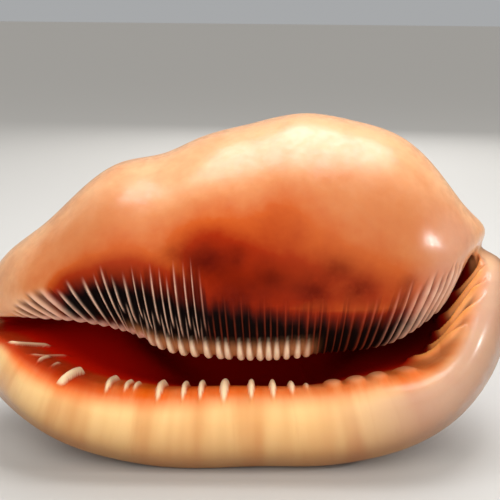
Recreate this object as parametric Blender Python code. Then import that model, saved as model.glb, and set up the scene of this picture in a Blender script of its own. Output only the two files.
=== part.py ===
"""A bullmouth helmet shell, lying on its outer lip and on the knobs of its back, mouth to the front.

The shell grew as one piece, so it is one closed surface. The surface is drawn over a flat grid with
two directions. "turn" runs once round the mouth, from the apex over the shield, past the canal and
back along the outer lip. "reach" runs from the middle of the back, out over the girth, round the
outer edge, over the front, through the rim of the mouth and into the hollow of the body whorl.

Lengths are in millimetres until the finished shell is scaled to metres. In the shell's own frame
X runs along the shell towards the apex, Y runs from the mouth's side to the back, and Z runs from
the outer lip to the top of the shield.
"""

import math

import bmesh
import bpy
import numpy as np
from mathutils import Matrix, Vector

MM = 0.001

# Each station joins a point of the outer edge to a point of the mouth's rim, both (x, y, z).
# Then come how far the front swells between them, and 0 for the shield or 1 for the outer lip.
STATIONS = (
    # the apex and the shield, from the apex end to the canal
    ((79.0, 41.0, 19.0), (72.5, 32.0, 9.5), 6.0, 0.0),
    ((75.7, 43.0, 23.5), (70.0, 29.0, 6.0), 12.0, 0.0),
    ((69.5, 44.0, 30.5), (64.0, 23.0, -3.0), 18.0, 0.0),
    ((61.7, 44.0, 41.0), (54.5, 18.0, -12.0), 22.0, 0.0),
    ((50.6, 43.0, 50.6), (44.0, 14.0, -16.5), 24.0, 0.0),
    ((35.0, 43.0, 55.8), (31.0, 12.0, -19.0), 25.0, 0.0),
    ((18.0, 43.0, 58.2), (16.5, 11.0, -20.5), 26.0, 0.0),
    ((0.0, 43.0, 54.6), (1.5, 11.0, -21.5), 26.0, 0.0),
    ((-16.5, 42.0, 50.0), (-13.5, 11.0, -21.0), 26.0, 0.0),
    ((-30.5, 41.0, 44.0), (-26.5, 10.0, -19.0), 25.0, 0.0),
    ((-44.0, 40.0, 41.0), (-36.5, 9.0, -14.5), 24.0, 0.0),
    ((-57.0, 39.0, 31.5), (-46.0, 9.0, -12.0), 22.0, 0.0),
    ((-68.5, 38.0, 20.5), (-56.0, 10.0, -10.5), 18.0, 0.0),
    ((-80.0, 40.0, 12.0), (-66.5, 13.0, -10.0), 14.0, 0.0),
    ((-89.0, 45.0, 2.0), (-77.0, 19.0, -10.0), 9.0, 0.0),
    # the notch of the canal
    ((-94.0, 51.0, -6.0), (-87.0, 32.0, -10.5), 5.0, 0.15),
    ((-94.0, 57.0, -14.0), (-89.5, 49.0, -13.5), 1.0, 0.5),
    ((-94.0, 49.0, -21.0), (-86.0, 29.0, -15.5), 4.0, 0.85),
    # the outer lip, from the canal back to the apex end
    ((-88.5, 36.0, -28.0), (-78.0, 17.0, -16.0), 8.0, 1.0),
    ((-79.0, 25.0, -35.3), (-69.5, 11.0, -20.0), 11.0, 1.0),
    ((-68.0, 19.0, -42.6), (-60.5, 9.0, -24.5), 12.0, 1.0),
    ((-56.0, 17.0, -48.6), (-50.0, 8.0, -28.0), 12.0, 1.0),
    ((-42.0, 16.0, -52.6), (-38.0, 8.0, -30.0), 12.0, 1.0),
    ((-27.0, 16.0, -55.1), (-24.5, 8.0, -31.0), 12.0, 1.0),
    ((-11.0, 16.0, -55.5), (-10.5, 8.0, -30.5), 12.0, 1.0),
    ((5.0, 16.0, -55.0), (3.5, 8.0, -30.5), 12.0, 1.0),
    ((21.5, 16.0, -54.9), (17.5, 8.0, -30.5), 12.0, 1.0),
    ((37.0, 16.0, -52.7), (31.5, 8.0, -29.0), 12.0, 1.0),
    ((51.0, 17.0, -48.7), (43.5, 9.0, -27.0), 12.0, 1.0),
    ((64.3, 20.0, -41.5), (53.0, 11.0, -25.0), 12.0, 1.0),
    ((74.5, 24.0, -31.5), (60.0, 15.0, -19.5), 12.0, 1.0),
    ((81.2, 28.0, -20.0), (65.0, 19.0, -11.5), 11.0, 1.0),
    ((84.8, 33.0, -8.0), (69.0, 24.0, -4.5), 10.0, 1.0),
    ((86.0, 38.0, 2.0), (73.0, 30.0, 2.0), 9.0, 0.95),
    ((83.5, 43.0, 9.5), (75.5, 36.0, 6.5), 6.0, 0.8),
    ((79.5, 46.0, 12.5), (76.0, 39.0, 9.5), 3.0, 0.4),
)

# The body whorl, seen from the front: its middle, its half widths, the depth of its girth, and how
# far the girth may stand out past the outer edge, as a share.
BODY_MIDDLE = (4.0, 6.0)
BODY_RIGHT, BODY_LEFT, BODY_TOP, BODY_BOTTOM = 72.0, 78.0, 54.0, 50.0
GIRTH_DEPTH = 56.0
GIRTH_LIMIT = 1.02
GIRTH_SOFTNESS = 0.06
BACK_POINT = (12.0, 100.0, 6.0)
CANAL_END_FALL = 0.34
HOLLOW_END_FALL = 0.45
WALL = 6.0
END_WALL = 20.0

# The cone of the spire: its tip, and how far it falls back along X per millimetre of radius.
SPIRE_TIP = (79.0, 42.0, 18.0)
SPIRE_SLOPE = 0.60
SPIRE_SOFTNESS = 5.0

# Rings between the back and the outer edge, and rings over the front. Each pair is (share of the
# way, share of the depth behind the edge or of the swelling in front of it).
BACK_ANGLES = (0, 15, 32, 50, 70)
BEHIND_SHIELD = ((0.60, 0.75), (0.30, 0.50), (0.08, 0.25))
BEHIND_LIP = ((1.03, 0.62), (0.90, 0.36), (0.30, 0.20))
FRONT_SHIELD = (
    (0.04, 0.45), (0.125, 0.76), (0.25, 0.95), (0.43, 1.0), (0.66, 0.84), (0.84, 0.50), (0.95, 0.18),
)
FRONT_LIP = (
    (0.07, 0.51), (0.22, 0.85), (0.41, 1.0), (0.62, 0.98), (0.82, 0.71), (0.94, 0.38), (0.985, 0.15),
)
THROAT_SHIELD = ((0.03, 8.0), (0.16, 20.0), (0.62, 38.0))
THROAT_LIP = ((0.10, 10.0), (0.42, 23.0), (1.00, 38.0))
THROAT_DEPTH = 46.0
HOLLOW_ANGLES = (66, 42, 20, 0)

RING_GIRTH = 5

# How far the growth of the shell leans sideways on its way from the rim out over the front.
# Pairs of (turn, turn gained per unit of reach); positive runs towards the canal on the shield.
LEAN = (
    (0.0, -0.1), (20.0, -0.6), (32.0, -0.9), (42.0, -0.9), (52.0, -0.5), (62.0, -0.2), (76.0, 0.0),
    (107.0, 0.2), (127.0, 0.3), (148.0, 0.8), (170.0, 0.85), (200.0, 0.1), (214.0, 0.0), (380.0, 0.0),
    (410.0, 0.6), (424.0, 0.8), (441.0, 0.5), (456.0, 0.2),
)
LEAN_REACH = 15.0

# Where the fine ridges of the shield sit: pairs of (turn, number of ridges counted from the apex).
RIDGES = (
    (20.0, 0.0), (45.0, 6.5), (60.0, 12.0), (105.0, 32.0), (120.0, 38.0), (140.0, 45.0), (180.0, 57.0),
)
# How far out each ridge starts, as (turn, reach), and its height, as (turn, height).
RIDGE_TOP = (
    (18.0, 153.0), (35.0, 152.5), (50.0, 156.0), (60.0, 158.0), (76.0, 157.0), (92.0, 155.5),
    (103.0, 154.5), (108.0, 147.5), (128.0, 150.0), (157.0, 150.5), (172.0, 153.0), (180.0, 157.0),
)
RIDGE_HEIGHT = (
    (16.0, 0.0), (24.0, 0.8), (40.0, 0.75), (52.0, 0.5), (76.0, 0.45), (100.0, 0.5), (130.0, 0.6),
    (165.0, 0.6), (182.0, 0.0),
)

# The blunt teeth under the shield's edge.
DENTICLES = (
    (126.0, 0.7), (121.5, 0.9), (117.8, 1.1), (114.0, 1.2), (110.2, 1.2), (105.5, 1.2), (101.8, 1.2),
    (99.0, 1.1), (95.0, 1.2), (92.0, 1.2), (89.0, 1.2), (85.8, 1.2), (83.2, 1.1), (79.5, 1.1), (76.0, 0.9),
    (72.8, 0.6),
)

# The teeth of the outer lip: (turn, half width, height).
TEETH = (
    (262.0, 0.9, 1.0), (268.0, 0.9, 1.2), (275.0, 1.5, 2.6), (291.5, 1.0, 1.9), (296.3, 0.8, 1.5),
    (299.6, 0.8, 1.5), (307.5, 1.0, 2.1), (315.3, 0.9, 1.8), (321.0, 0.9, 2.0), (328.2, 1.4, 2.0),
    (337.4, 1.0, 2.1), (344.0, 1.0, 1.9), (351.0, 1.0, 1.7), (356.0, 0.9, 0.9), (364.5, 1.0, 1.3),
    (371.2, 1.1, 1.2), (378.0, 1.2, 1.0), (383.6, 1.3, 0.8),
)

# The broad folds inside the lip's apex end: (turn, half width, height).
FOLDS = ((402.0, 4.2, 1.1), (411.0, 3.2, 1.5), (418.5, 3.0, 1.6), (427.5, 3.4, 1.7), (439.0, 3.2, 1.2))

# Rows of knobs round the back: (x, height, spread, first angle), angles counted from straight back.
KNOB_ROWS = ((46.0, 5.6, 8.6, 8.0), (20.0, 4.8, 7.8, 24.0), (-6.0, 2.5, 7.0, 12.0), (-30.0, 2.2, 6.2, 30.0))
KNOB_ANGLE = 38.0
AXIS = (44.0, 10.0)

# The seam of the spire: its radii, one turn apart, and the depth of its groove.
SEAM_RADII = (29.0, 17.5, 10.4, 6.2, 3.7)
SEAM_DEPTH = 0.13
CALLUS_REACH = 102.0
CALLUS_STEP = 0.7

RIM = 164.2

def spline_weights(knots, samples, period=None):
    """Weights that read a smooth cubic curve at the samples from values held at the knots."""
    knots = np.asarray(knots, float)
    count = len(knots)
    spans = np.diff(knots)
    if period is not None:
        spans = np.append(spans, period - knots[-1] + knots[0])
    left = np.zeros((count, count))
    right = np.zeros((count, count))
    for i in range(count):
        if period is None and i in (0, count - 1):
            left[i, i] = 1
            continue
        before, after = (i - 1) % count, (i + 1) % count
        left[i, before] += spans[i - 1]
        left[i, i] += 2 * (spans[i - 1] + spans[i])
        left[i, after] += spans[i]
        right[i, before] += 6 / spans[i - 1]
        right[i, i] -= 6 / spans[i - 1] + 6 / spans[i]
        right[i, after] += 6 / spans[i]
    bends = np.linalg.solve(left, right)
    where = np.asarray(samples, float)
    last = count - 2
    if period is not None:
        where = knots[0] + np.mod(where - knots[0], period)
        last = count - 1
    i = np.clip(np.searchsorted(knots, where, side="right") - 1, 0, last)
    span = spans[i]
    b = (where - knots[i]) / span
    a = 1 - b
    rows = np.arange(len(where))
    weights = np.zeros((len(where), count))
    weights[rows, i] += a
    weights[rows, (i + 1) % count] += b
    weights += ((a**3 - a) * span**2 / 6)[:, None] * bends[i]
    weights += ((b**3 - b) * span**2 / 6)[:, None] * bends[(i + 1) % count]
    return weights


def smooth_step(low, high, value):
    """0 below low, 1 above high, and a smooth rise between them."""
    share = np.clip((value - low) / (high - low), 0, 1)
    return share * share * (3 - 2 * share)


def soft_min(a, b, softness):
    """The lesser of a and b, rounded where they cross."""
    blend = np.clip(0.5 + 0.5 * (b - a) / softness, 0, 1)
    return b + (a - b) * blend - softness * blend * (1 - blend)


EDGE = np.array([s[0] for s in STATIONS])
MOUTH = np.array([s[1] for s in STATIONS])
SWELL = np.array([s[2] for s in STATIONS])
SIDE = np.array([s[3] for s in STATIONS])
STEPS = 0.5 * sum(np.linalg.norm(np.roll(line, -1, 0) - line, axis=1) for line in (EDGE, MOUTH))
TURN_KNOTS = np.concatenate([[0], np.cumsum(STEPS)[:-1]])
TURN_LENGTH = STEPS.sum()


def on_cone(points):
    """Points of the back, kept behind the cone of the spire."""
    radius = np.hypot(points[:, 1] - SPIRE_TIP[1], points[:, 2] - SPIRE_TIP[2])
    kept = points.copy()
    kept[:, 0] = soft_min(points[:, 0], SPIRE_TIP[0] - SPIRE_SLOPE * radius, SPIRE_SOFTNESS)
    return kept


def girth_line(edge):
    """The widest line of the body whorl, in the direction of each point of the outer edge."""
    across = edge[:, 0] - BODY_MIDDLE[0]
    up = edge[:, 2] - BODY_MIDDLE[1]
    half_x = np.where(across > 0, BODY_RIGHT, BODY_LEFT)
    half_z = np.where(up > 0, BODY_TOP, BODY_BOTTOM)
    scale = soft_min(1 / np.hypot(across / half_x, up / half_z), GIRTH_LIMIT, GIRTH_SOFTNESS)
    depth = np.full(len(edge), GIRTH_DEPTH)
    return np.stack([BODY_MIDDLE[0] + across * scale, depth, BODY_MIDDLE[1] + up * scale], 1)


def dome(girth, crown, degrees, end_fall=CANAL_END_FALL):
    """A ring on the dome that rises from the girth line to its crown."""
    angle = math.radians(degrees)
    ring = crown + (girth - crown) * math.sin(angle)
    fall = 1 - end_fall * smooth_step(-10, 90, -ring[:, 0])
    ring[:, 1] = girth[:, 1] + (crown[1] - girth[:, 1]) * math.cos(angle) * fall
    return on_cone(ring)


def rings(turn):
    """Every ring of the shell at the given turns, from the middle of the back into the hollow."""
    weights = spline_weights(TURN_KNOTS, turn, TURN_LENGTH)
    edge, mouth, swell = weights @ EDGE, weights @ MOUTH, weights @ SWELL
    side = np.clip(weights @ SIDE, 0, 1)
    apex_end = side * smooth_step(56, 80, edge[:, 0])
    crown = np.array(BACK_POINT)
    girth = girth_line(edge)
    made = [dome(girth, crown, a) for a in BACK_ANGLES]
    made.append(on_cone(girth))
    for (share_s, depth_s), (share_l, depth_l) in zip(BEHIND_SHIELD, BEHIND_LIP):
        share = share_s + (share_l - share_s) * side - 0.25 * apex_end * depth_l
        ring = edge + (made[RING_GIRTH] - edge) * share[:, None]
        ring[:, 1] = edge[:, 1] + (GIRTH_DEPTH - edge[:, 1]) * (depth_s + (depth_l - depth_s) * side)
        made.append(ring)
    made.append(edge)
    for (share_s, swell_s), (share_l, swell_l) in zip(FRONT_SHIELD, FRONT_LIP):
        share = share_s + (share_l - share_s) * side
        ring = edge + (mouth - edge) * share[:, None]
        ring[:, 1] -= swell * (swell_s + (swell_l - swell_s) * side)
        made.append(ring)
    made.append(mouth)
    outward = girth - np.array([BODY_MIDDLE[0], GIRTH_DEPTH, BODY_MIDDLE[1]])
    wall = WALL + (END_WALL - WALL) * smooth_step(10, 80, np.abs(girth[:, 0]))
    hollow = girth - outward / np.linalg.norm(outward, axis=1)[:, None] * wall[:, None]
    for (share_s, depth_s), (share_l, depth_l) in zip(THROAT_SHIELD, THROAT_LIP):
        share = (share_s + (share_l - share_s) * side) * (1 - 0.5 * apex_end * (1 - share_l))
        ring = mouth + (hollow - mouth) * share[:, None]
        depth = (depth_s + (depth_l - depth_s) * side) / THROAT_DEPTH
        ring[:, 1] = mouth[:, 1] + depth * (hollow[:, 1] - mouth[:, 1])
        made.append(ring)
    inner_crown = crown - np.array([0, WALL, 0])
    for angle in HOLLOW_ANGLES:
        ring = dome(hollow, inner_crown, angle, HOLLOW_END_FALL)
        covered = dome(girth, crown, angle)[:, 0] - WALL * 0.6
        ring[:, 0] = np.where(ring[:, 0] > 20, np.minimum(ring[:, 0], covered), ring[:, 0])
        made.append(ring)
    return np.array(made)


EVEN_TURNS = np.linspace(0, TURN_LENGTH, 240, endpoint=False)
RING_GAPS = np.linalg.norm(np.diff(rings(EVEN_TURNS), axis=0), axis=2).mean(1)
REACH_KNOTS = np.concatenate([[0], np.cumsum(RING_GAPS)])


def surface(turn, reach):
    """The bare form of the shell at matching turns and reaches."""
    return np.einsum("nk,knc->nc", spline_weights(REACH_KNOTS, reach), rings(turn))


def outward(turn, reach):
    """The direction that points out of the bare form."""
    small = 0.05
    low = np.clip(reach - small, 0.5, REACH_KNOTS[-1] - 1)
    high = np.clip(reach + small, 1, REACH_KNOTS[-1] - 0.5)
    along_turn = surface(turn + small, (low + high) / 2) - surface(turn - small, (low + high) / 2)
    along_reach = surface(turn, high) - surface(turn, low)
    normal = np.cross(along_turn, along_reach)
    normal[reach < 0.5] = (0, 1, 0)
    return normal / np.maximum(np.linalg.norm(normal, axis=1), 1e-9)[:, None]


def table(pairs, value):
    """Reads a table of pairs, in straight lines between its entries."""
    keys, values = zip(*pairs)
    return np.interp(value, keys, values)


def leaned(turn, reach):
    """The turn that a line of growth has reached when it starts at the given turn on the rim."""
    pairs = LEAN + ((TURN_LENGTH, LEAN[0][1]),)
    lean = table(pairs, np.mod(turn, TURN_LENGTH))
    run = np.clip(RIM - reach, -4, None)
    return turn + lean * LEAN_REACH * np.tanh(run / LEAN_REACH)


def bump(value, middle, half_width):
    """A smooth hump, 1 at its middle and nearly 0 two half widths away."""
    return np.exp(-(((value - middle) / half_width) ** 2))


def ridges(turn, reach):
    """The fine ridges that fan out over the shield from the mouth."""
    phase = table(RIDGES, turn)
    wave = 0.5 + 0.5 * np.cos(2 * math.pi * phase)
    top = table(RIDGE_TOP, turn)
    envelope = smooth_step(top - 1, top + 5, reach) * (1 - smooth_step(RIM - 2.5, RIM + 0.5, reach))
    return (wave - 0.5) * 2 * table(RIDGE_HEIGHT, turn) * envelope


def denticles(turn, reach):
    """The blunt teeth under the shield's edge."""
    height = sum(h * bump(turn, t, 0.95) for t, h in DENTICLES)
    return height * smooth_step(RIM - 2.6, RIM - 0.8, reach) * (1 - smooth_step(RIM + 2, RIM + 6, reach))


def teeth(turn, reach):
    """The finger shaped teeth of the outer lip."""
    height = sum(h * bump(turn, t, w) for t, w, h in TEETH)
    rise = smooth_step(RIM - 12, RIM - 4, reach) * (1 - smooth_step(RIM + 4, RIM + 13, reach))
    return height * rise


def folds(turn, reach):
    """The broad folds inside the lip's apex end."""
    height = sum(h * 2 * bump(turn, t, w) for t, w, h in FOLDS) - 1.6 * smooth_step(392, 412, turn)
    height = height * (1 - smooth_step(444, 452, turn))
    return height * smooth_step(RIM - 22, RIM - 7, reach) * (1 - smooth_step(RIM + 6, RIM + 16, reach))


def back_angle(points):
    """Degrees round the shell's long axis, 0 straight back and positive towards the shield."""
    return np.degrees(np.arctan2(points[:, 2] - AXIS[1], points[:, 1] - AXIS[0]))


def knobs(points, reach):
    """The rows of knobs round the back of the body whorl."""
    angle = back_angle(points)
    radius = np.hypot(points[:, 2] - AXIS[1], points[:, 1] - AXIS[0])
    total = np.zeros(len(points))
    for row, (x, height, spread, first) in enumerate(KNOB_ROWS):
        for number in range(-3, 4):
            middle = first + KNOB_ANGLE * number + 3 * math.sin(5.1 * number + row)
            size = height * (1 + 0.16 * math.sin(2.7 * number + 1.3 * row))
            along = points[:, 0] - x - 0.05 * (angle - first)
            around = np.radians(angle - middle) * radius
            away = (along / spread) ** 2 + (around / spread / 1.1) ** 2
            total += size * np.exp(-(away + 0.35 * away**2) * 0.9)
        total += 0.16 * height * np.exp(-(((points[:, 0] - x) / spread) ** 2))
    free = smooth_step(-112, -84, angle) * (1 - smooth_step(54, 82, angle))
    return total * free * (1 - smooth_step(88, 104, reach))


def spire(points, reach):
    """The grooved seam that winds up to the apex, and the whorls that bulge between its turns."""
    radius = np.hypot(points[:, 1] - SPIRE_TIP[1], points[:, 2] - SPIRE_TIP[2])
    angle = np.degrees(np.arctan2(points[:, 2] - SPIRE_TIP[2], points[:, 1] - SPIRE_TIP[1]))
    ratio = math.log(SEAM_RADII[0] / SEAM_RADII[-1]) / (len(SEAM_RADII) - 1)
    winds = np.log(SEAM_RADII[0] / np.maximum(radius, 2.5)) / ratio - angle / 360
    share = winds - np.floor(winds)
    dip = np.exp(-((np.minimum(share, 1 - share) / 0.11) ** 2))
    width = radius * (1 - math.exp(-ratio))
    bulge = np.sin(math.pi * share) ** 0.7
    depth = SEAM_DEPTH * np.clip(width, 0, 9)
    facing = (1 - smooth_step(98, 106, reach)) * smooth_step(30, 44, points[:, 0])
    near = 1 - smooth_step(SEAM_RADII[0] + 1, SEAM_RADII[0] + 6, radius)
    return (bulge * depth * 0.5 - dip * depth) * facing * near


def callus(turn, reach):
    """The thin glaze that laps over the back and ends in a low ledge."""
    margin = CALLUS_REACH + 1.6 * np.sin(turn * 0.11) + 0.9 * np.sin(turn * 0.31 + 1)
    return CALLUS_STEP * smooth_step(margin - 1, margin + 1.5, reach) * (1 - smooth_step(120, 140, reach))


def height(turn, reach, points):
    """How far the finished shell stands out from its bare form."""
    relief = ridges(turn, reach) + denticles(turn, reach) + teeth(turn, reach) + folds(turn, reach)
    return relief + knobs(points, reach) + spire(points, reach) + callus(turn, reach)


def skin(turn, reach):
    """Points of the finished shell in its own frame."""
    grown = leaned(turn, reach)
    points = surface(grown, reach)
    raised = height(np.mod(turn, TURN_LENGTH), reach, points)
    return points + outward(grown, reach) * raised[:, None]


# The grid: how many columns lie before each turn, and the reach of every fourth row.
COLUMNS = (
    (0.0, 0), (20.0, 16), (45.0, 42), (60.0, 64), (105.0, 144), (120.0, 168), (140.0, 196), (180.0, 244),
    (275.0, 320), (395.0, 504), (445.0, 556), (TURN_LENGTH, 576),
)
ROWS = (
    0, 8, 16, 23, 29, 35, 41, 47, 53, 59, 65, 70, 75, 80, 85, 90, 95, 99, 101.5, 103.5, 107, 110.5, 114.1,
    118, 122, 128, 134, 140, 145, 148.5, 152.5, 156.5, 160, 163, 165.5, 169, 176, 190, 208, 230, 250, 270,
    REACH_KNOTS[-1],
)
ROWS_BETWEEN = 4

# How the shell rests: degrees it leans back and rolls, and how much its three feet are worn flat.
LEAN_BACK = 13.0
ROLL = -0.6
WORN = 0.5
TRIANGLES = 9800


def shell_mesh():
    """The closed surface of the shell as a mesh in millimetres."""
    columns, rows = COLUMNS[-1][1], (len(ROWS) - 1) * ROWS_BETWEEN
    mesh = bmesh.new()
    bmesh.ops.create_grid(mesh, x_segments=columns, y_segments=rows, size=1)
    flat = (np.array([v.co for v in mesh.verts]) + 1) / 2
    turns, counts = zip(*COLUMNS)
    turn = np.interp(flat[:, 0] * columns, counts, turns)
    reach = np.interp(flat[:, 1] * (len(ROWS) - 1), range(len(ROWS)), ROWS)
    for vertex, point in zip(mesh.verts, skin(turn, reach)):
        vertex.co = Vector(point)
    bmesh.ops.remove_doubles(mesh, verts=mesh.verts, dist=0.02)
    bmesh.ops.recalc_face_normals(mesh, faces=mesh.faces)
    return mesh


def plain_material(name, colour, roughness):
    """A material of one even colour."""
    material = bpy.data.materials.new(name)
    material.use_nodes = True
    shader = material.node_tree.nodes["Principled BSDF"]
    shader.inputs["Base Color"].default_value = (*colour, 1)
    shader.inputs["Roughness"].default_value = roughness
    return material


def thinned(mesh):
    """The mesh with its triangles spent where the form needs them."""
    rough = bpy.data.meshes.new("rough")
    mesh.to_mesh(rough)
    mesh.free()
    holder = bpy.data.objects.new("rough", rough)
    bpy.context.scene.collection.objects.link(holder)
    modifier = holder.modifiers.new("thin", "DECIMATE")
    modifier.ratio = TRIANGLES / (2 * len(rough.polygons))
    bpy.context.view_layer.update()
    found = holder.evaluated_get(bpy.context.evaluated_depsgraph_get())
    thin = bmesh.new()
    thin.from_mesh(found.to_mesh())
    found.to_mesh_clear()
    bpy.data.objects.remove(holder)
    bpy.data.meshes.remove(rough)
    return thin


def set_down(mesh):
    """Leans the shell back on its feet, wears them flat and brings it to the floor."""
    lean = Matrix.Rotation(math.radians(-LEAN_BACK), 4, "X") @ Matrix.Rotation(math.radians(ROLL), 4, "Y")
    mesh.transform(lean)
    low = min(v.co.z for v in mesh.verts) + WORN
    everything = mesh.verts[:] + mesh.edges[:] + mesh.faces[:]
    cut = bmesh.ops.bisect_plane(
        mesh, geom=everything, dist=0.001, plane_co=(0, 0, low), plane_no=(0, 0, -1), clear_outer=True
    )
    rims = [e for e in cut["geom_cut"] if isinstance(e, bmesh.types.BMEdge)]
    bmesh.ops.holes_fill(mesh, edges=rims, sides=0)
    span = [(min(v.co[i] for v in mesh.verts), max(v.co[i] for v in mesh.verts)) for i in range(3)]
    middle = Vector((sum(span[0]) / 2, sum(span[1]) / 2, span[2][0]))
    mesh.transform(Matrix.Scale(MM, 4) @ Matrix.Translation(-middle))
    bmesh.ops.recalc_face_normals(mesh, faces=mesh.faces)


def build():
    """Makes the shell as one object."""
    for thing in list(bpy.data.objects):
        bpy.data.objects.remove(thing)
    mesh = thinned(shell_mesh())
    set_down(mesh)
    data = bpy.data.meshes.new("shell")
    mesh.to_mesh(data)
    mesh.free()
    data.materials.append(plain_material("shell", (0.80, 0.42, 0.20), 0.3))
    shell = bpy.data.objects.new("shell", data)
    bpy.context.scene.collection.objects.link(shell)


if __name__ == "__main__":
    build()
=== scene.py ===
"""The look of the bullmouth helmet shell: its fine surface, its glaze and colours, floor, light and camera.

The surface is drawn over a flat grid. "turn" runs once round the mouth, from the apex over the shield,
past the canal and back along the outer lip. "reach" runs from the middle of the back, over the girth,
round the outer edge, over the front, through the rim of the mouth and into the hollow. Lengths are in
millimetres in the shell's own frame until the shell is set down on the floor. Masks, one number at each
point of the surface, tell the glaze where each colour lies. A span is (low, high) or (low, high, softness).
A waver is a few sine waves, each (size, pace, start), that make an edge or a spacing a little irregular.
"""

import math

import bmesh
import bpy
import numpy as np
from mathutils import Matrix, Vector


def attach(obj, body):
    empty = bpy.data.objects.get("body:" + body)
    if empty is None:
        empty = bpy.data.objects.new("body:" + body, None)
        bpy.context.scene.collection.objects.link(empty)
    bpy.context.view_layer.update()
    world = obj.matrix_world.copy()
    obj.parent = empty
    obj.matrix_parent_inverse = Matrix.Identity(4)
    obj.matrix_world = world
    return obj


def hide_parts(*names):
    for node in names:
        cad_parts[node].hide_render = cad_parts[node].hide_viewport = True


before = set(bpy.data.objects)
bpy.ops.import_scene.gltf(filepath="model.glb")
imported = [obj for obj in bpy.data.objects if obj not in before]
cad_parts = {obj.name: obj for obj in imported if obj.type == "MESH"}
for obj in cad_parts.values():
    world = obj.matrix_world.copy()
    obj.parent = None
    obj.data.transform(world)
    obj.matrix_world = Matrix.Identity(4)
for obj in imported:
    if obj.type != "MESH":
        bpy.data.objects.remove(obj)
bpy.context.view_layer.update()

MM = 0.001

# FORM: each station joins a point of the outer edge to a point of the mouth's rim, both (x, y, z).
# Then comes how far the front swells between them, and 0 for the shield or 1 for the outer lip.
STATIONS = (
    ((79.0, 41.0, 19.0), (72.5, 32.0, 9.5), 6.0, 0.0),
    ((75.7, 43.0, 23.5), (70.0, 29.0, 6.0), 12.0, 0.0),
    ((69.5, 44.0, 30.5), (64.0, 23.0, -3.0), 18.0, 0.0),
    ((61.7, 44.0, 41.0), (54.5, 18.0, -10.7), 22.0, 0.0),
    ((50.6, 43.0, 50.6), (44.0, 14.0, -16.0), 24.0, 0.0),
    ((35.0, 43.0, 55.8), (31.0, 12.0, -18.2), 25.0, 0.0),
    ((18.0, 43.0, 58.2), (16.5, 11.0, -19.4), 26.0, 0.0),
    ((0.0, 43.0, 54.6), (1.5, 11.0, -20.1), 26.0, 0.0),
    ((-16.5, 42.0, 50.0), (-13.5, 11.0, -19.4), 26.0, 0.0),
    ((-30.5, 41.0, 44.0), (-26.5, 10.0, -17.3), 25.0, 0.0),
    ((-44.0, 40.0, 41.0), (-36.5, 9.0, -12.9), 24.0, 0.0),
    ((-57.0, 39.0, 31.5), (-46.0, 9.0, -10.5), 22.0, 0.0),
    ((-68.5, 38.0, 20.5), (-56.0, 10.0, -9.1), 18.0, 0.0),
    ((-80.0, 40.0, 12.0), (-66.5, 13.0, -8.9), 14.0, 0.0),
    ((-89.0, 45.0, 2.0), (-77.0, 19.0, -9.2), 9.0, 0.0),
    ((-94.0, 51.0, -6.0), (-87.0, 32.0, -10.5), 5.0, 0.15),
    ((-94.0, 57.0, -14.0), (-89.5, 49.0, -13.5), 1.0, 0.5),
    ((-94.0, 49.0, -21.0), (-86.0, 29.0, -15.5), 4.0, 0.85),
    ((-88.5, 36.0, -28.0), (-78.0, 17.0, -16.0), 8.0, 1.0),
    ((-79.0, 25.0, -35.3), (-69.5, 11.0, -20.0), 11.0, 1.0),
    ((-68.0, 19.0, -42.6), (-60.5, 9.0, -24.5), 12.0, 1.0),
    ((-56.0, 17.0, -48.6), (-50.0, 8.0, -28.0), 12.0, 1.0),
    ((-42.0, 16.0, -52.6), (-38.0, 8.0, -30.0), 12.0, 1.0),
    ((-27.0, 16.0, -55.1), (-24.5, 8.0, -31.0), 12.0, 1.0),
    ((-11.0, 16.0, -55.5), (-10.5, 8.0, -30.5), 12.0, 1.0),
    ((5.0, 16.0, -55.0), (3.5, 8.0, -30.5), 12.0, 1.0),
    ((21.5, 16.0, -54.9), (17.5, 8.0, -30.5), 12.0, 1.0),
    ((37.0, 16.0, -52.7), (31.5, 8.0, -29.0), 12.0, 1.0),
    ((51.0, 17.0, -48.7), (43.5, 9.0, -27.0), 12.0, 1.0),
    ((64.3, 20.0, -41.5), (53.0, 11.0, -25.0), 12.0, 1.0),
    ((74.5, 24.0, -31.5), (60.0, 15.0, -19.5), 12.0, 1.0),
    ((81.2, 28.0, -20.0), (65.0, 19.0, -11.5), 11.0, 1.0),
    ((84.8, 33.0, -8.0), (69.0, 24.0, -4.5), 10.0, 1.0),
    ((86.0, 38.0, 2.0), (73.0, 30.0, 2.0), 9.0, 0.95),
    ((83.5, 43.0, 9.5), (75.5, 36.0, 6.5), 6.0, 0.8),
    ((79.5, 46.0, 12.5), (76.0, 39.0, 9.5), 3.0, 0.4),
)
BODY_MIDDLE = (4.0, 6.0)
BODY_RIGHT, BODY_LEFT, BODY_TOP, BODY_BOTTOM = 72.0, 78.0, 54.0, 50.0
GIRTH_DEPTH = 56.0
GIRTH_LIMIT = 1.02
GIRTH_SOFTNESS = 0.06
BACK_POINT = (12.0, 100.0, 6.0)
CANAL_END_FALL = 0.34
HOLLOW_END_FALL = 0.45
END_FALL_SPAN = (-10.0, 90.0)
WALL = 6.0
END_WALL = 20.0
END_WALL_SPAN = (10.0, 80.0)
APEX_END_SPAN = (56.0, 80.0)
APEX_PULL_BEHIND = 0.25
APEX_PULL_THROAT = 0.5
SPIRE_TIP = (79.0, 42.0, 18.0)
SPIRE_SLOPE = 0.60
SPIRE_SOFTNESS = 5.0
SPIRE_SIDE = 20.0
SPIRE_WALL = 0.6

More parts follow.
